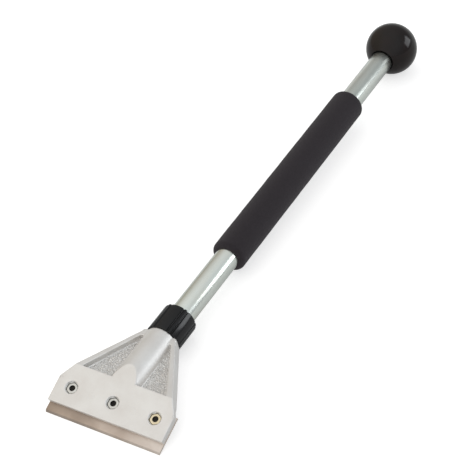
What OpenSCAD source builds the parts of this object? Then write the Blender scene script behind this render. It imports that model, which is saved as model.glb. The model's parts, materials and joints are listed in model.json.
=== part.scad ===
// Hand floor scraper: a cast head with a clamped blade, on a straight tube with a foam grip and a ball knob.
// It lies nut face up on the cutting edge and the ball, with +Y from the blade towards the ball.
//
// Three local frames carry the parts, each with X along the cutting edge:
//   tool  +Y along the nut face towards the handle, +Z out of that face, origin on its front edge
//   seat  the face that the blade lies against is Z = 0, origin on its front edge
//   axis  +Z along the handle towards the ball, origin square below the fold line, -Y on the nut side

/* [Blade] */
// Width of the blade, which is the length of its cutting edge
blade_w = 127; // [110:1:150]
// Depth of the blade, front to back
blade_d = 38; // [35:0.5:38.5]
// Thickness of the blade
blade_t = 2.5; // [1.5:0.1:3]
// Length of blade that stands out past the casting
blade_reach = 10.3; // [8:0.1:12]
// Length of the bevel ground on the nut side
bevel_l = 1.8; // [1:0.1:3]

/* [Head casting] */
// Thickness of the casting at its front edge
front_t = 6.2; // [6:0.1:8]
// Angle between the blade seat and the nut face, in degrees
seat_tilt = 3; // [0:0.5:5]
// Distance from the front edge to the shoulders
shoulder_y = 25.5; // [23:0.5:28]
// Distance from the front edge to the fold line
fold_y = 41.6; // [41:0.2:46]
// Width of the head where it meets the collar
neck_w = 38; // [36:0.2:40]
// Angle that the handle dips below the nut face, in degrees
bend = 22; // [21.5:0.5:24]
// Depth of the handle axis below the fold line, square to the axis
axis_drop = 10.5; // [10:0.1:11]
// Thickness of the ribbed web behind the fold
web_t = 13; // [11:0.5:14]
// Depth of the two triangular pockets
pocket_depth = 6; // [4:0.5:8]
// Width of the outer ribs
rib_w = 4; // [3:0.5:6]
// Diameter of the boss around the tube
boss_d = 34; // [33.5:0.1:34.4]

/* [Blade clamp] */
// Thread diameter of the clamp screws
screw_d = 6; // [5:1:6]
// Distance between neighbouring clamp screws
screw_gap = 46.3; // [40:0.1:48]
// Distance from the casting's front edge to the screws, along the seat
screw_y = 18.1; // [17:0.1:19]
// Across-flats size of the nuts
nut_af = 10; // [9.5:0.1:10.5]
// Thickness of the nuts
nut_t = 3.2; // [2.8:0.1:3.4]
// Thickness of casting left under each nut
nut_floor = 1.8; // [1.6:0.1:2.2]
// Thickness of the clamp plate
plate_t = 3; // [2:0.5:3]
// Width of the clamp plate
plate_w = 118; // [108:1:124]

/* [Handle] */
// Outside diameter of the handle tube
tube_d = 25.4; // [25:0.1:25.6]
// Wall thickness of the handle tube
tube_wall = 1.5; // [1:0.1:2.5]
// Distance along the axis from the fold to the ball's centre
knob_at = 592; // [560:1:700]
// Diameter of the ball knob
ball_d = 60; // [58:1:64]
// Distance along the axis from the fold to the grip
grip_from = 196; // [160:1:220]
// Length of the foam grip
grip_l = 281; // [200:1:285]
// Outside diameter of the foam grip
grip_d = 37.2; // [34:0.2:40]

/* [Locking collar] */
// Distance along the axis from the fold to the collar
collar_at = 68; // [67.5:0.1:69]
// Length of the collar
collar_l = 33; // [32:0.5:36]
// Diameter of the collar between its ribs
collar_d = 36.8; // [36.4:0.1:37]
// Number of finger ribs
collar_ribs = 6; // [4:1:8]

/* [Hidden] */
$fn = 96;

far = 400;          // longer than any cut needs
slip = 0.3;         // gap between parts that pass each other
run_fit = 0.05;     // radial clearance of a running fit

boss_r = boss_d / 2;
tube_r = tube_d / 2;
tube_bore_r = tube_r - tube_wall;
ball_r = ball_d / 2;
collar_r = collar_d / 2;
screw_r = screw_d / 2;

land = 0.25;                    // blunt height left at the cutting edge

// Blade clamp, in the seat frame: the stack goes down from the seat, the nuts sit above it
plate_from = 4.5;
plate_to = 27.5;
washer_t = 1.2;
washer_r = 6;
head_h = 3.3;
head_r = 5.3;
socket_af = 4;
screw_tip = nut_floor + 2.1;    // the screws stop inside their nuts
lead_in_r = 6.5;                // round mouth above each nut
lead_in_depth = 1.2;
plate_top = -blade_t;
plate_base = plate_top - plate_t;
head_top = plate_base - washer_t;

// Handle fit, along the axis
neck_s = collar_at - 0.6;       // the casting's shoulder under the collar
spigot_r = 16;
spigot_top = collar_at + 18.2;
bore_from = 16;
collet_r = 14.1;
collet_from = collar_at + 2.2;
collet_head_r = 15.6;
collet_head_from = spigot_top + 1.8;
collar_lip = 4;
thrust_t = 2.5;
thrust_top = collar_at + collar_l - collar_lip;
collet_top = thrust_top - thrust_t - 0.1;
tube_from = bore_from + 3;
tube_to = knob_at - 22;         // the tube ends on the floor of the ball's recess
recess_r = tube_r + 0.9;
stud_r = 5;
insert_r = 8;
insert_l = 28;

// How the tool lies: the cutting edge and the ball touch one plane
edge_y = -blade_reach * cos(seat_tilt) - blade_t * sin(seat_tilt);
edge_z = -front_t + blade_reach * sin(seat_tilt) - blade_t * cos(seat_tilt);
ball_y = fold_y - axis_drop * sin(bend) + knob_at * cos(bend);
ball_z = -axis_drop * cos(bend) - knob_at * sin(bend);
lie = atan2(edge_z - ball_z, ball_y - edge_y) + asin(ball_r / norm([ball_y - edge_y, ball_z - edge_z]));
front = edge_y * cos(lie) - edge_z * sin(lie) - land * sin(lie - seat_tilt);
back = ball_y * cos(lie) - ball_z * sin(lie) + ball_r;
base = edge_y * sin(lie) + edge_z * cos(lie);

// Depth below the web's face, at a distance s behind the fold, as [y, z] in the tool frame
function on_web(s, depth) = [
    fold_y + s * cos(bend) - depth * sin(bend), -s * sin(bend) - depth * cos(bend),
];

// The head narrows from its shoulders to its neck; rib_x is half its width on the web's face
neck_corner = 4;
narrow_to = on_web(neck_s, 0)[0] - neck_corner;
narrowing = (blade_w - neck_w) / 2 / (narrow_to - shoulder_y);
function rib_x(s) = blade_w / 2 - narrowing * (on_web(s, 0)[0] - shoulder_y);
function rib_inner_x(s) = rib_x(s) - rib_w * norm([1, narrowing * cos(bend)]);

module tool_frame() {
    translate([0, -(front + back) / 2, -base]) rotate([lie, 0, 0]) children();
}

module seat_frame() {
    tool_frame() translate([0, 0, -front_t]) rotate([-seat_tilt, 0, 0]) children();
}

module axis_frame() {
    tool_frame() translate([0, fold_y - axis_drop * sin(bend), -axis_drop * cos(bend)])
        rotate([-90 - bend, 0, 0]) children();
}

// Shared shapes

module ring(outer, inner, from, to) {
    translate([0, 0, from]) difference() {
        cylinder(r = outer, h = to - from);
        translate([0, 0, -1]) cylinder(r = inner, h = to - from + 2);
    }
}

module rod(r, from, to) {
    translate([0, 0, from]) cylinder(r = r, h = to - from);
}

// A hexagonal prism with two sides square to X
module hexagon(af, from, to) {
    translate([0, 0, from]) linear_extrude(to - from) rotate(30) circle(d = af / cos(30), $fn = 6);
}

// Head casting

module plate_and_web() {
    seat_end = 31;      // the underside slopes down to the web from here
    intersection() {
        rotate([90, 0, 90]) linear_extrude(blade_w, center = true) polygon([
            [0, 0],
            [fold_y, 0],
            on_web(neck_s, 0),
            on_web(neck_s, web_t),
            on_web(0, web_t),
            [seat_end, -front_t - seat_end * tan(seat_tilt)],
            [0, -front_t],
        ]);
        translate([0, 0, -far / 2]) linear_extrude(far) outline();
    }
}

module outline() {
    corner_x = neck_w / 2 - neck_corner;
    polygon([
        [-blade_w / 2, -1],
        [blade_w / 2, -1],
        [blade_w / 2, shoulder_y],
        [neck_w / 2, narrow_to],
        [corner_x, narrow_to + neck_corner],
        [-corner_x, narrow_to + neck_corner],
        [-neck_w / 2, narrow_to],
        [-blade_w / 2, shoulder_y],
    ]);
    for (side = [-1, 1])
        translate([side * corner_x, narrow_to]) circle(r = neck_corner);
}

module pocket() {
    from = 0.6;
    to = neck_s - 9;
    thicken = 2.5;    // the ribs thicken towards the blade
    translate([0, pocket_depth - axis_drop, 0]) rotate([90, 0, 0]) linear_extrude(pocket_depth + 1)
        polygon([[0, from], [rib_inner_x(from) - thicken, from], [rib_inner_x(to), to], [0, to]]);
}

module boss() {
    nose_from = -4;
    nose_to = 2;
    translate([0, 0, nose_from]) cylinder(r1 = boss_r - 4, r2 = boss_r, h = nose_to - nose_from);
    rod(boss_r, nose_to, neck_s + slip);
    rod(spigot_r, nose_to, spigot_top);
}

module nut_pocket() {
    face = (front_t + screw_y * sin(seat_tilt)) / cos(seat_tilt);
    rod(screw_r + slip, -1, far);
    hexagon(nut_af + 3 * slip, nut_floor, far);
    rod(lead_in_r, face - lead_in_depth, far);
}

module tube_socket() {
    rod(tube_r + run_fit, bore_from, far);
    rod(collet_r + run_fit, collet_from - slip, far);
    translate([0, 0, spigot_top - 1]) cylinder(r1 = collet_r, r2 = collet_r + 1.5, h = 1.5);
}

module head_casting() {
    color("gainsboro") difference() {
        union() {
            difference() {
                tool_frame() plate_and_web();
                axis_frame() for (side = [0, 1])
                    mirror([side, 0, 0]) pocket();
            }
            axis_frame() boss();
        }
        tool_frame() translate([-far / 2, -far / 2, 0]) cube(far);
        seat_frame() at_screws() nut_pocket();
        axis_frame() tube_socket();
    }
}

// Blade and clamp

module at_screw(place) {
    translate([place * screw_gap, screw_y, 0]) children();
}

module at_screws() {
    for (place = [-1, 0, 1])
        at_screw(place) children();
}

module blade() {
    back_y = blade_d - blade_reach;
    color("tan") seat_frame() difference() {
        rotate([90, 0, 90]) linear_extrude(blade_w, center = true) polygon([
            [-blade_reach, -blade_t],
            [-blade_reach, -blade_t + land],
            [-blade_reach + bevel_l, 0],
            [back_y, 0],
            [back_y, -blade_t],
        ]);
        at_screws() {
            rod(screw_r + slip, -far / 2, far / 2);
            translate([-screw_r - slip, 0, -far / 2]) cube([2 * (screw_r + slip), far, far]);
        }
    }
}

module clamp_plate() {
    chamfer = 1.5;
    color("darkgray") seat_frame() difference() {
        rotate([90, 0, 90]) linear_extrude(plate_w, center = true) polygon([
            [plate_from, plate_top],
            [plate_to, plate_top],
            [plate_to, plate_base + chamfer],
            [plate_to - chamfer, plate_base],
            [plate_from + chamfer, plate_base],
            [plate_from, plate_base + chamfer],
        ]);
        at_screws() rod(screw_r + slip, -far / 2, far / 2);
    }
}

module nut(tint, place) {
    color(tint) seat_frame() at_screw(place) difference() {
        intersection() {
            hexagon(nut_af, nut_floor, nut_floor + nut_t);
            translate([0, 0, nut_floor]) cylinder(r1 = nut_af / 2 + nut_t, r2 = nut_af / 2 + 0.2, h = nut_t);
        }
        rod(screw_r + run_fit, 0, far);
    }
}

module washer(place) {
    color("silver") seat_frame() at_screw(place)
        ring(washer_r, screw_r + slip, plate_base - washer_t, plate_base);
}

module clamp_screw(place) {
    dome = 1.4;
    socket_depth = 2;
    color("dimgray") seat_frame() at_screw(place) {
        difference() {
            union() {
                rod(head_r, head_top - head_h + dome, head_top);
                translate([0, 0, head_top - head_h]) cylinder(r1 = head_r - dome, r2 = head_r, h = dome);
            }
            hexagon(socket_af, head_top - head_h - 1, head_top - head_h + socket_depth);
        }
        rod(screw_r, head_top, screw_tip);
    }
}

// Handle lock

module locking_collar() {
    rib_turn = 2;
    rib_r = 1.6;
    rib_out = 18.75;
    groove_r = 1;
    groove_turn = 7;
    lip_at = collar_at + collar_l - collar_lip;
    color("black") axis_frame() difference() {
        union() {
            rod(collar_r, collar_at + 0.6, collar_at + collar_l - 0.8);
            rod(collar_r - 0.3, collar_at, collar_at + collar_l);
            for (i = [0 : collar_ribs - 1])
                rotate(rib_turn + i * 360 / collar_ribs) translate([rib_out - rib_r, 0, 0])
                    rod(rib_r, collar_at + 0.9, collar_at + collar_l - 1.1);
        }
        for (i = [0 : collar_ribs - 1], side = [-1, 1])
            rotate(rib_turn + i * 360 / collar_ribs + side * groove_turn) translate([collar_r + 0.2, 0, 0])
                rod(groove_r, collar_at - 1, collar_at + collar_l + 1);
        rod(spigot_r + 2 * run_fit, collar_at - 1, lip_at);
        rod(tube_r + slip, lip_at - 1, lip_at + collar_lip + 1);
    }
}

module thrust_washer() {
    color("whitesmoke") axis_frame() ring(spigot_r - slip, tube_r + slip, thrust_top - thrust_t, thrust_top);
}

module split_collet() {
    slits = 4;
    slit_w = 1.2;
    slit_from = collet_from + 7;
    color("ivory") axis_frame() difference() {
        union() {
            rod(collet_r, collet_from, collet_head_from);
            translate([0, 0, spigot_top - 0.5])
                cylinder(r1 = collet_r, r2 = collet_head_r, h = collet_head_from - spigot_top + 0.5);
            rod(collet_head_r, collet_head_from, collet_top);
        }
        rod(tube_r + run_fit, collet_from - 1, collet_top + 1);
        for (i = [0 : slits - 1])
            rotate(i * 360 / slits) translate([0, -slit_w / 2, slit_from]) cube([far, slit_w, far]);
    }
}

// Handle

module handle_tube() {
    color("lightgray") axis_frame() ring(tube_r, tube_bore_r, tube_from, tube_to);
}

module lower_tube_plug() {
    flange = 1.5;
    color("dimgray") axis_frame() {
        rod(tube_r - 0.1, tube_from - flange, tube_from);
        rod(tube_bore_r, tube_from, tube_from + 12);
    }
}

module upper_tube_plug() {
    color("silver") axis_frame() ring(tube_bore_r, stud_r, tube_to - 18, tube_to);
}

module foam_grip() {
    end_r = 5;
    wall = grip_d / 2 - tube_r;
    color("darkslategray") axis_frame() rotate_extrude() translate([tube_r, grip_from]) {
        translate([0, end_r]) square([wall, grip_l - 2 * end_r]);
        square([wall - end_r, grip_l]);
        for (s = [end_r, grip_l - end_r])
            translate([wall - end_r, s]) circle(r = end_r);
    }
}

// Ball knob

module knob_stud() {
    color("silver") axis_frame() rod(stud_r, tube_to - 16, tube_to + 24);
}

module knob_insert() {
    color("goldenrod") axis_frame() ring(insert_r, stud_r, tube_to, tube_to + insert_l);
}

module ball_knob() {
    color("black") axis_frame() difference() {
        translate([0, 0, knob_at]) sphere(r = ball_r);
        rod(recess_r, knob_at - ball_r - 1, tube_to);
        rod(insert_r, tube_to - 1, tube_to + insert_l);
    }
}

head_casting();
blade();
clamp_plate();
nut("silver", -1);  // nut_left
nut("silver", 0);  // nut_middle
nut("khaki", 1);  // nut_right
washer(-1);  // washer_left
washer(0);  // washer_middle
washer(1);  // washer_right
clamp_screw(-1);  // clamp_screw_left
clamp_screw(0);  // clamp_screw_middle
clamp_screw(1);  // clamp_screw_right
locking_collar();
thrust_washer();
split_collet();
handle_tube();
lower_tube_plug();
upper_tube_plug();
foam_grip();
knob_stud();
knob_insert();
ball_knob();
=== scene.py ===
"""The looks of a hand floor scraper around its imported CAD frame. Metres, row frame."""

import json
import math

import bmesh
import bpy
from mathutils import Matrix, Vector, noise


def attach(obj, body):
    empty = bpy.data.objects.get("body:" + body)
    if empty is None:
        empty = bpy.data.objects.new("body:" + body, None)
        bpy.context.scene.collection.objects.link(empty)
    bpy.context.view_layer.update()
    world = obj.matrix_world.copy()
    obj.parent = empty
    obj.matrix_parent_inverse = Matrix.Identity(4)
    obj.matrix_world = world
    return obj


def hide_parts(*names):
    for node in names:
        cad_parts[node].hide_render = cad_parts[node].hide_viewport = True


MM = 0.001
TINY = 0.02 * MM                                # a hairline gap or bore
RIB_HEIGHT = 0.35 * MM                          # of the locking collar's six ribs
PLACES = ("left", "middle", "right")            # of the screws, nuts and washers

# The colour sockets of a Mix node follow the float and vector ones of the same names
MIX_FIRST, MIX_SECOND, MIX_RESULT = 6, 7, 2

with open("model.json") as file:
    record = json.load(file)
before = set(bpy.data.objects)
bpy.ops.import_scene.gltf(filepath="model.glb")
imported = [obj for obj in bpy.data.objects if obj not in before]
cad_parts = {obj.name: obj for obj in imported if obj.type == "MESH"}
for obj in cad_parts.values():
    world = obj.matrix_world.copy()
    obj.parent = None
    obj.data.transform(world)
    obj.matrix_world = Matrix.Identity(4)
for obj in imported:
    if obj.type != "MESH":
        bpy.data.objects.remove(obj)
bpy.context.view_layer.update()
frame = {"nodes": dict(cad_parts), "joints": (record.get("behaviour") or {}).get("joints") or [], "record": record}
nodes = frame["nodes"]
joints = {joint["name"]: joint for joint in frame["joints"]}

# The handle's axis: every turned piece is placed by its distance along it
AXIS = Vector(joints["handle_slide"]["axis"]).normalized()
AXIS_POINT = Vector(joints["handle_twist"]["pos_m"])
ACROSS = Vector((1, 0, 0))
AWAY = ACROSS.cross(AXIS)                       # up from the floor, square to the axis

# The head's nut face, from its mount
nut_face = next(mount for mount in frame["record"]["mounts"] if mount["name"] == "nut_face")
NUT_FACE = Vector(nut_face["pos_m"])
NUT_FACE_OUT = Vector(nut_face["axis"]).normalized()


# Places

def span(node):
    """(start, end, largest radius) of a CAD node along and around the handle's axis."""
    along, radius = [], 0
    for vertex in nodes[node].data.vertices:
        offset = vertex.co - AXIS_POINT
        s = offset.dot(AXIS)
        along.append(s)
        radius = max(radius, (offset - s * AXIS).length)
    return min(along), max(along), radius


def on_axis(s, radius, angle):
    """Angle 0 is +X, a quarter turn is up from the floor."""
    return AXIS_POINT + s * AXIS + radius * (math.cos(angle) * ACROSS + math.sin(angle) * AWAY)


def arc(centre_s, centre_r, radius, start, end, count):
    """Points (s, r) on an arc; degrees, 0 towards the ball and 90 outwards."""
    turns = [math.radians(start + (end - start) * i / count) for i in range(count + 1)]
    return [(centre_s + radius * math.cos(t), centre_r + radius * math.sin(t)) for t in turns]


# Mesh making

def new_object(name, mesh_data, body, material, material_slot, *stands_for):
    piece = bpy.data.objects.new(name, mesh_data)
    bpy.context.scene.collection.objects.link(piece)
    piece.data.materials.clear()
    piece.data.materials.append(material)
    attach(piece, body)
    if stands_for:
        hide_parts(*stands_for)
    return piece


def shade_by_angle(mesh_data, degrees):
    """Smooth shading, with hard edges where faces meet at more than that angle."""
    mesh_data.polygons.foreach_set("use_smooth", [True] * len(mesh_data.polygons))
    mesh_data.set_sharp_from_angle(angle=math.radians(degrees))


def lathe(name, profile, turns=160, radius_at=None):
    """A closed ring turned around the handle's axis from a loop of (s, r, share) points.
    radius_at(angle) is added to a point's radius, times its share."""
    work = bmesh.new()
    rings = []
    for point in profile:
        s, r = point[:2]
        share = point[2] if len(point) > 2 else 0
        ring = []
        for i in range(turns):
            angle = 2 * math.pi * i / turns
            extra = share * radius_at(angle) if share else 0
            ring.append(work.verts.new(on_axis(s, r + extra, angle)))
        rings.append(ring)
    for k, ring in enumerate(rings):
        after = rings[(k + 1) % len(rings)]
        for i in range(turns):
            j = (i + 1) % turns
            work.faces.new((ring[i], ring[j], after[j], after[i]))
    bmesh.ops.recalc_face_normals(work, faces=work.faces)
    mesh_data = bpy.data.meshes.new(name)
    work.to_mesh(mesh_data)
    work.free()
    shade_by_angle(mesh_data, 35)
    return mesh_data


def with_modifiers(name, source, *modifiers):
    """A copy of a mesh with (type, settings) modifiers applied."""
    carrier = bpy.data.objects.new(name + "_carrier", source.copy())
    bpy.context.scene.collection.objects.link(carrier)
    for kind, settings in modifiers:
        modifier = carrier.modifiers.new(kind, kind)
        for key, value in settings.items():
            setattr(modifier, key, value)
    graph = bpy.context.evaluated_depsgraph_get()
    mesh_data = bpy.data.meshes.new_from_object(carrier.evaluated_get(graph))
    mesh_data.name = name
    bpy.data.objects.remove(carrier)
    return mesh_data


def eased(name, node, width, segments=3, crease=25):
    """A CAD node's shape with its sharp edges rounded to a small radius."""
    work = bmesh.new()
    work.from_mesh(nodes[node].data)
    bmesh.ops.remove_doubles(work, verts=work.verts, dist=0.001 * MM)
    bmesh.ops.dissolve_limit(
        work, angle_limit=math.radians(0.5), verts=work.verts, edges=work.edges
    )
    flat = bpy.data.meshes.new(name + "_flat")
    work.to_mesh(flat)
    work.free()
    bevel = {
        "width": width, "segments": segments, "limit_method": "ANGLE",
        "angle_limit": math.radians(crease), "use_clamp_overlap": True,
        "harden_normals": False, "loop_slide": True,
    }
    mesh_data = with_modifiers(name, flat, ("BEVEL", bevel))
    shade_by_angle(mesh_data, 30)
    return mesh_data


# Materials

def set_stops(color_ramp, stops):
    """Fill a new ramp from (position, grey or colour) stops."""
    elements = color_ramp.elements
    while len(elements) < len(stops):
        elements.new(0.5)
    for element, (position, value) in zip(elements, stops):
        element.position = position
        colour = (value, value, value) if isinstance(value, float) else value
        element.color = (*colour, 1)


class Nodes:
    """A short way to lay out a Principled material.
    In names given as arguments an underscore stands for a space."""

    def __init__(self, name, **values):
        self.material = bpy.data.materials.new(name)
        self.material.use_nodes = True
        self.tree = self.material.node_tree
        self.shader = self.tree.nodes["Principled BSDF"]
        for key, value in values.items():
            self.shader.inputs[key.replace("_", " ")].default_value = value

    def add(self, kind, links=None, **values):
        made = self.tree.nodes.new(kind)
        for key, value in values.items():
            if hasattr(made, key):
                setattr(made, key, value)
            else:
                made.inputs[key.replace("_", " ")].default_value = value
        for key, source in (links or {}).items():
            self.tree.links.new(source, made.inputs[key])
        return made

    def place(self, scale=(1, 1, 1), turn=(0, 0, 0)):
        """Object coordinates, stretched for brushed or drawn surfaces."""
        where = self.add("ShaderNodeTexCoord")
        mapping = self.add("ShaderNodeMapping", {"Vector": where.outputs["Object"]})
        mapping.inputs["Scale"].default_value = scale
        mapping.inputs["Rotation"].default_value = turn
        return mapping.outputs["Vector"]

    def noise(self, where, scale, detail=3.0, roughness=0.55):
        made = self.add("ShaderNodeTexNoise", {"Vector": where},
                        Scale=scale, Detail=detail, Roughness=roughness)
        return made.outputs["Fac"]

    def between(self, value, low, high, from_low=0.0, from_high=1.0):
        """A value taken from one range to another."""
        made = self.add("ShaderNodeMapRange", {"Value": value}, From_Min=from_low,
                        From_Max=from_high, To_Min=low, To_Max=high)
        return made.outputs["Result"]

    def cells(self, where, scale):
        return self.add("ShaderNodeTexVoronoi", {"Vector": where}, Scale=scale).outputs["Distance"]

    def ramp(self, factor, *stops):
        made = self.add("ShaderNodeValToRGB", {"Fac": factor})
        set_stops(made.color_ramp, stops)
        return made.outputs["Color"]

    def bump(self, height, strength, distance, under=None):
        links = {"Height": height}
        if under is not None:
            links["Normal"] = under
        made = self.add("ShaderNodeBump", links)
        made.inputs["Strength"].default_value = strength
        made.inputs["Distance"].default_value = distance
        return made.outputs["Normal"]

    def drive(self, **sockets):
        for key, source in sockets.items():
            self.tree.links.new(source, self.shader.inputs[key.replace("_", " ")])
        return self.material


def srgb(red, green, blue):
    """Linear colour from 0-255 display values."""
    return tuple((c / 255 / 12.92) if c <= 10 else ((c / 255 + 0.055) / 1.055) ** 2.4
                 for c in (red, green, blue))


def cast_aluminium():
    """Bead-blasted casting: pale, fine-grained, with slow changes of tone."""
    m = Nodes("cast_aluminium", Metallic=0.75)
    where = m.place()
    grain = m.noise(where, 2600, 2)
    patches = m.noise(where, 45, 4)
    tone = m.ramp(patches, (0.3, srgb(222, 219, 216)), (0.7, srgb(231, 230, 228)))
    rough = m.ramp(grain, (0.3, 0.40), (0.7, 0.54))
    fine = m.bump(grain, 0.25, 0.06 * MM)
    normal = m.bump(m.noise(where, 420, 3), 0.25, 0.15 * MM, fine)
    return m.drive(Base_Color=tone, Roughness=rough, Normal=normal)


def ground_steel():
    """Spring-steel strip: long grinding lines, a warm oxide tint with stains, and painted light that makes it
    paler towards the right, where it catches a brighter reflection.
    """
    m = Nodes("ground_steel", Metallic=0.9)
    lines = m.noise(m.place((2, 90, 90)), 60, 4, 0.6)
    stain = m.noise(m.place(), 28, 3)
    # Painted light: the colour grows paler along +X across the blade, standing in for the brighter reflection on
    # its right-hand side.
    half_width, change = 64 * MM, 0.3
    across = m.add("ShaderNodeSeparateXYZ", {"Vector": m.place()}).outputs["X"]
    painted_light_to_right = m.between(across, -change, change, -half_width, half_width)
    # Real stains added to the painted light towards the right.
    tint = m.add("ShaderNodeMath", {0: stain, 1: painted_light_to_right}, operation="ADD")
    tone = m.ramp(tint.outputs["Value"], (0.2, srgb(160, 145, 134)), (0.5, srgb(188, 173, 161)),
                  (0.85, srgb(216, 204, 194)))
    rough = m.ramp(lines, (0.3, 0.30), (0.7, 0.46))
    normal = m.bump(lines, 0.12, 0.05 * MM)
    return m.drive(Base_Color=tone, Roughness=rough, Normal=normal)


def plated_steel(name, low, high, roughness=0.3):
    """Bright plating with slight clouding and fine handling marks."""
    m = Nodes(name, Metallic=1.0)
    where = m.place()
    clouds = m.noise(where, 180, 4)
    tone = m.ramp(clouds, (0.3, low), (0.7, high))
    rough = m.ramp(m.noise(where, 900, 3), (0.3, roughness - 0.06), (0.7, roughness + 0.08))
    normal = m.bump(m.noise(where, 1500, 2), 0.1, 0.03 * MM)
    return m.drive(Base_Color=tone, Roughness=rough, Normal=normal)


def zinc_tube():
    """Drawn tube with yellowish and greenish passivation and faint lines along it."""
    m = Nodes("zinc_tube", Metallic=1.0)
    drawn = m.noise(m.place((1600, 12, 1600)), 1.0, 2)
    clouds = m.noise(m.place((1, 0.25, 1)), 60, 4)
    tone = m.ramp(clouds, (0.25, srgb(216, 222, 215)), (0.5, srgb(226, 230, 224)),
                  (0.78, srgb(222, 219, 206)))
    rough = m.ramp(drawn, (0.3, 0.20), (0.7, 0.24))
    normal = m.bump(drawn, 0.03, 0.01 * MM)
    return m.drive(Base_Color=tone, Roughness=rough, Normal=normal)


def foam():
    """Closed-cell foam: dark, matt, with a skin of fine open pores."""
    m = Nodes("grip_foam", Sheen_Weight=0.05, Sheen_Roughness=0.5, Specular_IOR_Level=0.2)
    where = m.place()
    pores = m.cells(where, 1500)
    grain = m.noise(where, 3200, 2)
    tone = m.ramp(grain, (0.3, srgb(30, 27, 29)), (0.7, srgb(56, 51, 56)))
    rough = m.ramp(pores, (0.0, 0.95), (0.8, 0.78))
    fine = m.bump(grain, 0.5, 0.12 * MM)
    normal = m.bump(pores, 0.6, 0.25 * MM, fine)
    return m.drive(Base_Color=tone, Roughness=rough, Normal=normal)


def moulded_black(name, low, high, roughness, gloss=0.5):
    """Moulded black plastic; gloss is the share of light it mirrors, with 0.5 usual for plastic."""
    m = Nodes(name, Specular_IOR_Level=gloss)
    where = m.place()
    tone = m.ramp(m.noise(where, 90, 3), (0.3, low), (0.7, high))
    grain = m.noise(where, 1800, 2)
    rough = m.ramp(grain, (0.3, roughness - 0.03), (0.7, roughness + 0.04))
    normal = m.bump(grain, 0.05, 0.03 * MM)
    return m.drive(Base_Color=tone, Roughness=rough, Normal=normal)


def pale_plastic():
    m = Nodes("pale_plastic", Subsurface_Weight=0.1, Subsurface_Scale=1 * MM)
    where = m.place()
    tone = m.ramp(m.noise(where, 120, 3), (0.3, srgb(224, 218, 202)), (0.7, srgb(236, 232, 220)))
    rough = m.ramp(m.noise(where, 1400, 2), (0.3, 0.42), (0.7, 0.55))
    normal = m.bump(m.noise(where, 2200, 2), 0.08, 0.03 * MM)
    return m.drive(Base_Color=tone, Roughness=rough, Normal=normal)


# Pieces

def cast_head():
    """The casting, softened as a blasted casting is, with stippled pocket floors."""
    mesh_data = with_modifiers(
        "head",
        nodes["head_casting"].data,
        ("REMESH", {"mode": "VOXEL", "voxel_size": 0.5 * MM, "use_smooth_shade": True}),
        ("SMOOTH", {"factor": 0.5, "iterations": 5}),
    )
    stipple(mesh_data)
    eject_marks(mesh_data)
    shade_by_angle(mesh_data, 60)
    new_object("head", mesh_data, "head", cast_aluminium(), "cast_aluminium", "head_casting")


def stipple(mesh_data):
    """Coarse pebbles on the pocket floors, which lie below the web's face and look the same way."""
    web_face = 10.5 * MM                # above the handle's axis
    pocket_depth = 6.0 * MM
    height, pebble = 1.5 * MM, 2.2 * MM
    steepness, sunk = 2.4, 0.7          # of a pebble's sides, and its share below the floor
    for vertex in mesh_data.vertices:
        above = (vertex.co - AXIS_POINT).dot(AWAY)
        on_floor = abs(above - (web_face - pocket_depth)) < 0.6 * MM
        if on_floor and vertex.normal.dot(AWAY) > 0.93:
            near = noise.voronoi(vertex.co / pebble)[0]
            crown = min(1.0, steepness * (near[1] - near[0]))
            vertex.co += height * (crown - sunk) * AWAY


def eject_marks(mesh_data):
    """Two faint ring marks on the nut face, between the nut pockets."""
    ring_radius, ring_width, depth = 3.2 * MM, 0.9 * MM, 0.12 * MM
    screws = [Vector(joints[f"screw_{place}_turn"]["pos_m"]) for place in PLACES]
    centres = [(screws[0] + screws[1]) / 2, (screws[1] + screws[2]) / 2]
    for vertex in mesh_data.vertices:
        offset = vertex.co - NUT_FACE
        if abs(offset.dot(NUT_FACE_OUT)) > 0.5 * MM or vertex.normal.dot(NUT_FACE_OUT) < 0.95:
            continue
        for centre in centres:
            away = vertex.co - centre
            away -= away.dot(NUT_FACE_OUT) * NUT_FACE_OUT
            miss = abs(away.length - ring_radius) / ring_width
            if miss < 1:
                vertex.co -= depth * (1 - miss) * NUT_FACE_OUT


def blade():
    mesh_data = eased("blade", "blade", 0.12 * MM, 2)
    new_object("scraper_blade", mesh_data, "blade", ground_steel(), "blade_steel", "blade")


def clamp_parts():
    zinc = plated_steel("bright_zinc", srgb(196, 196, 192), srgb(218, 218, 214), 0.28)
    dull = plated_steel("dull_zinc", srgb(172, 174, 172), srgb(196, 197, 194), 0.4)
    yellow = plated_steel("yellow_plating", srgb(218, 204, 172), srgb(234, 223, 196), 0.3)
    black = plated_steel("black_oxide", srgb(38, 37, 36), srgb(54, 52, 50), 0.42)
    new_object("clamp_bar", eased("clamp_bar", "clamp_plate", 0.4 * MM), "clamp", dull,
               "plated_steel", "clamp_plate")
    for place in PLACES:
        nut, washer, screw = f"nut_{place}", f"washer_{place}", f"clamp_screw_{place}"
        tint, slot = (yellow, "brass_nut") if place == "right" else (zinc, "zinc_nut")
        new_object(f"hex_{nut}", eased(nut, nut, 0.2 * MM), "head", tint, slot, nut)
        new_object(f"flat_{washer}", eased(washer, washer, 0.15 * MM), "clamp", zinc,
                   "zinc_nut", washer)
        new_object(f"socket_{screw}", eased(screw, screw, 0.25 * MM), f"screw_{place}", black,
                   "black_screw", screw)


def collar_radius(angle):
    """How far the ribbed outline stands above the collar's plain radius."""
    ribs, rib_turn = 6, math.radians(-2)
    rib_half, groove_half, groove_at = math.radians(4.6), math.radians(3.0), math.radians(7.4)
    groove_depth = 1.1 * MM
    step = 2 * math.pi / ribs
    off = abs((angle - rib_turn + step / 2) % step - step / 2)
    if off < rib_half:
        return RIB_HEIGHT * (1 - (off / rib_half) ** 8)
    miss = abs(off - groove_at) / groove_half
    return -groove_depth * math.sqrt(1 - miss * miss) if miss < 1 else 0


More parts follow.
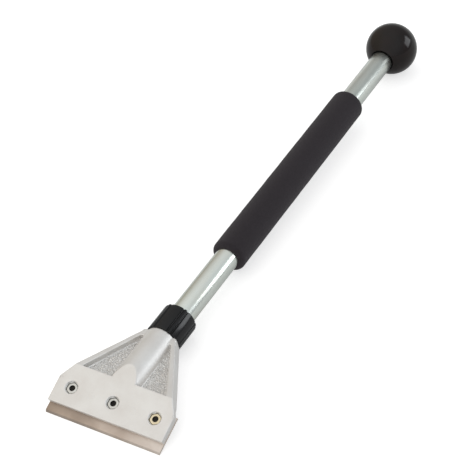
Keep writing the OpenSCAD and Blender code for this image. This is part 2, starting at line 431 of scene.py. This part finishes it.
def collar():
    low, high, outer = span("locking_collar")
    plain = outer - RIB_HEIGHT
    edge = 0.8 * MM
    spigot_bore, tube_bore = 16.1 * MM, 13.0 * MM
    lip = 3.97 * MM                     # a little short of the washer under it
    profile = [(s, r, 1) for s, r in arc(low + edge, plain - edge, edge, 180, 90, 5)]
    profile += [(s, r, 1) for s, r in arc(high - edge, plain - edge, edge, 90, 0, 5)]
    profile += [(high, tube_bore + edge), (high - edge / 2, tube_bore), (high - lip, tube_bore),
                (high - lip, spigot_bore), (low, spigot_bore)]
    mesh_data = lathe("collar", profile, 720, collar_radius)
    black = moulded_black("black_nylon", srgb(8, 8, 10), srgb(13, 13, 15), 0.16, 0.36)
    new_object("collar", mesh_data, "collar", black, "black_nylon", "locking_collar")


def tube():
    low, high, outer = span("handle_tube")
    wall, edge = 1.5 * MM, 0.25 * MM
    profile = arc(low + edge, outer - edge, edge, 180, 90, 3)
    profile += arc(high - edge, outer - edge, edge, 90, 0, 3)
    profile += [(high, outer - wall), (low, outer - wall)]
    mesh_data = lathe("tube", profile, 192)
    new_object("tube", mesh_data, "handle", zinc_tube(), "zinc_tube", "handle_tube")


def grip():
    low, high, outer = span("foam_grip")
    bore = span("handle_tube")[2]
    shoulder, rows = 5.0 * MM, 90
    swell, waves_per_metre = 0.15 * MM, 55      # of the slow unevenness of its skin
    profile = [(low, bore)]
    profile += arc(low + shoulder, outer - shoulder, shoulder, 180, 90, 10)
    inner_low, inner_high = low + shoulder, high - shoulder
    profile += [(inner_low + (inner_high - inner_low) * i / rows, outer) for i in range(1, rows)]
    profile += arc(high - shoulder, outer - shoulder, shoulder, 90, 0, 10)
    profile += [(high, bore)]
    mesh_data = lathe("grip", profile, 192)
    for vertex in mesh_data.vertices:
        offset = vertex.co - AXIS_POINT
        out = offset - offset.dot(AXIS) * AXIS
        if out.length > bore + 0.5 * MM:
            wave = noise.noise(vertex.co * waves_per_metre) - 0.6
            vertex.co += swell * wave * out.normalized()
    piece = new_object("grip", mesh_data, "handle", foam(), "grip_foam", "foam_grip")


def ball():
    _, high, radius = span("ball_knob")
    centre = high - radius
    recess, recess_edge = 13.6 * MM, 0.4 * MM
    recess_floor = span("handle_tube")[1]
    _, insert_top, insert_radius = span("knob_insert")
    start = 180 - math.degrees(math.asin((recess + recess_edge) / radius))
    radius -= TINY                      # stays inside the CAD ball
    mouth = centre + radius * math.cos(math.radians(start))
    profile = arc(centre, 0, radius, start, 0.5, 96)
    profile += [(centre + radius, TINY), (insert_top, TINY), (insert_top, insert_radius),
                (recess_floor, insert_radius), (recess_floor, recess),
                (mouth + recess_edge, recess)]
    mesh_data = lathe("ball", profile, 192)
    black = moulded_black("gloss_knob", srgb(15, 9, 8), srgb(24, 15, 13), 0.14, 0.26)
    new_object("ball", mesh_data, "handle", black, "gloss_knob", "ball_knob")


def hidden_parts():
    """Sealed inner pieces keep their CAD shape and get a finish."""
    pale = pale_plastic()
    steel = plated_steel("inner_steel", srgb(186, 187, 184), srgb(206, 206, 202), 0.32)
    brass = plated_steel("inner_brass", srgb(206, 176, 112), srgb(222, 194, 132), 0.3)
    dark = moulded_black("dark_plastic", srgb(34, 34, 34), srgb(46, 46, 46), 0.5)
    finishes = {
        "thrust_washer": pale, "split_collet": pale, "lower_tube_plug": dark,
        "upper_tube_plug": steel, "knob_stud": steel, "knob_insert": brass,
    }
    for node, material in finishes.items():
        nodes[node].data.materials.clear()
        nodes[node].data.materials.append(material)


# Studio

def floor():
    """A pale floor far larger than the tool, dimmer in reflections."""
    size = 30.0
    work = bmesh.new()
    bmesh.ops.create_grid(work, x_segments=1, y_segments=1, size=size / 2)
    plane = bpy.data.meshes.new("floor")
    work.to_mesh(plane)
    work.free()
    piece = bpy.data.objects.new("floor", plane)
    bpy.context.scene.collection.objects.link(piece)
    m = Nodes("floor_paint", Specular_IOR_Level=0.1, Emission_Color=(1, 1, 1, 1))
    mirrored = m.add("ShaderNodeLightPath").outputs["Is Glossy Ray"]
    tone = m.ramp(m.noise(m.place(), 3, 2), (0.3, 0.62), (0.7, 0.64))
    dim = m.add("ShaderNodeMix", {"Factor": mirrored}, data_type="RGBA")
    m.tree.links.new(tone, dim.inputs[MIX_FIRST])
    dim.inputs[MIX_SECOND].default_value = (0.52, 0.54, 0.54, 1)
    glow = m.between(mirrored, 0.62, 0.16)
    rough = m.ramp(m.noise(m.place(), 60, 2), (0.3, 0.85), (0.7, 0.95))
    plane.materials.append(m.drive(
        Base_Color=dim.outputs[MIX_RESULT], Roughness=rough, Emission_Strength=glow
    ))


def soft_light(name, place, aim, size, power, colour):
    data = bpy.data.lights.new(name, "AREA")
    data.shape, data.size, data.size_y = "RECTANGLE", size[0], size[1]
    data.energy, data.color = power, colour
    lamp = bpy.data.objects.new(name, data)
    lamp.location = place
    lamp.rotation_euler = (Vector(aim) - Vector(place)).to_track_quat("-Z", "Y").to_euler()
    bpy.context.scene.collection.objects.link(lamp)


def sky():
    """Soft light from the left for matt surfaces; glossy ones see a dimmer, tinted room."""
    world = bpy.data.worlds.new("studio")
    bpy.context.scene.world = world
    world.use_nodes = True
    tree = world.node_tree
    where = tree.nodes.new("ShaderNodeTexCoord").outputs["Generated"]

    def ramp(way, *stops):
        """Colour by how far a direction points along way: 0 is against it, 1 along it."""
        side = tree.nodes.new("ShaderNodeVectorMath")
        side.operation = "DOT_PRODUCT"
        side.inputs[1].default_value = Vector(way).normalized()
        tree.links.new(where, side.inputs[0])
        share = tree.nodes.new("ShaderNodeMapRange")
        share.inputs["From Min"].default_value = -1
        tree.links.new(side.outputs["Value"], share.inputs["Value"])
        made = tree.nodes.new("ShaderNodeValToRGB")
        tree.links.new(share.outputs["Result"], made.inputs["Fac"])
        set_stops(made.color_ramp, stops)
        return made.outputs["Color"]

    def mix(factor, first, second, blend_type="MIX"):
        made = tree.nodes.new("ShaderNodeMix")
        made.data_type, made.blend_type = "RGBA", blend_type
        if isinstance(factor, float):
            made.inputs["Factor"].default_value = factor
        else:
            tree.links.new(factor, made.inputs["Factor"])
        tree.links.new(first, made.inputs[MIX_FIRST])
        tree.links.new(second, made.inputs[MIX_SECOND])
        return made.outputs[MIX_RESULT]

    matt = ramp((-1, -0.25, 0.35), (0.0, (0.16, 0.16, 0.18)), (0.5, (0.62, 0.62, 0.62)),
                (1.0, (1.45, 1.43, 1.40)))
    gloss = ramp((0, -0.55, 0.83), (0.28, (0.62, 0.62, 0.62)), (0.40, (0.38, 0.38, 0.38)),
                 (0.6, (0.60, 0.60, 0.60)), (0.88, (1.03, 1.03, 1.03)))
    tint = ramp((1, 0.2, 0), (0.1, (1.0, 0.93, 0.80)), (0.28, (1.0, 0.985, 0.96)),
                (0.8, (0.92, 0.97, 1.0)))
    light_path = tree.nodes.new("ShaderNodeLightPath")
    seen = mix(light_path.outputs["Is Glossy Ray"], matt, mix(1.0, gloss, tint, "MULTIPLY"))
    tree.links.new(seen, tree.nodes["Background"].inputs["Color"])


def studio():
    floor()
    sky()
    way, distance = Vector((0.69, 0.634, 0.346)), 1.6
    size, power, colour = (0.9, 0.6), 6.0, (0.94, 0.97, 1.0)
    soft_light("strip", distance * way, (0, 0, 0), size, power, colour)


def camera():
    """Three-quarter view from above, 1.6 m off, over the blade's right-hand end."""
    data = bpy.data.cameras.new("camera")
    data.sensor_width, data.lens = 36.0, 115.1          # millimetres
    data.clip_start, data.clip_end = 0.05, 60
    view = bpy.data.objects.new("camera", data)
    place = Vector((0.64788, -1.05439, 1.04281))
    right = Vector((0.86901, 0.48796, -0.08202))
    back = Vector((0.41741, -0.63395, 0.65106))         # away from what it looks at
    turn = Matrix((right, back.cross(right), back)).transposed()
    view.matrix_world = Matrix.Translation(place) @ turn.to_4x4()
    bpy.context.scene.collection.objects.link(view)
    bpy.context.scene.camera = view


cast_head()
blade()
clamp_parts()
collar()
tube()
grip()
ball()
hidden_parts()
studio()
camera()

bpy.context.scene.view_settings.view_transform = "Standard"
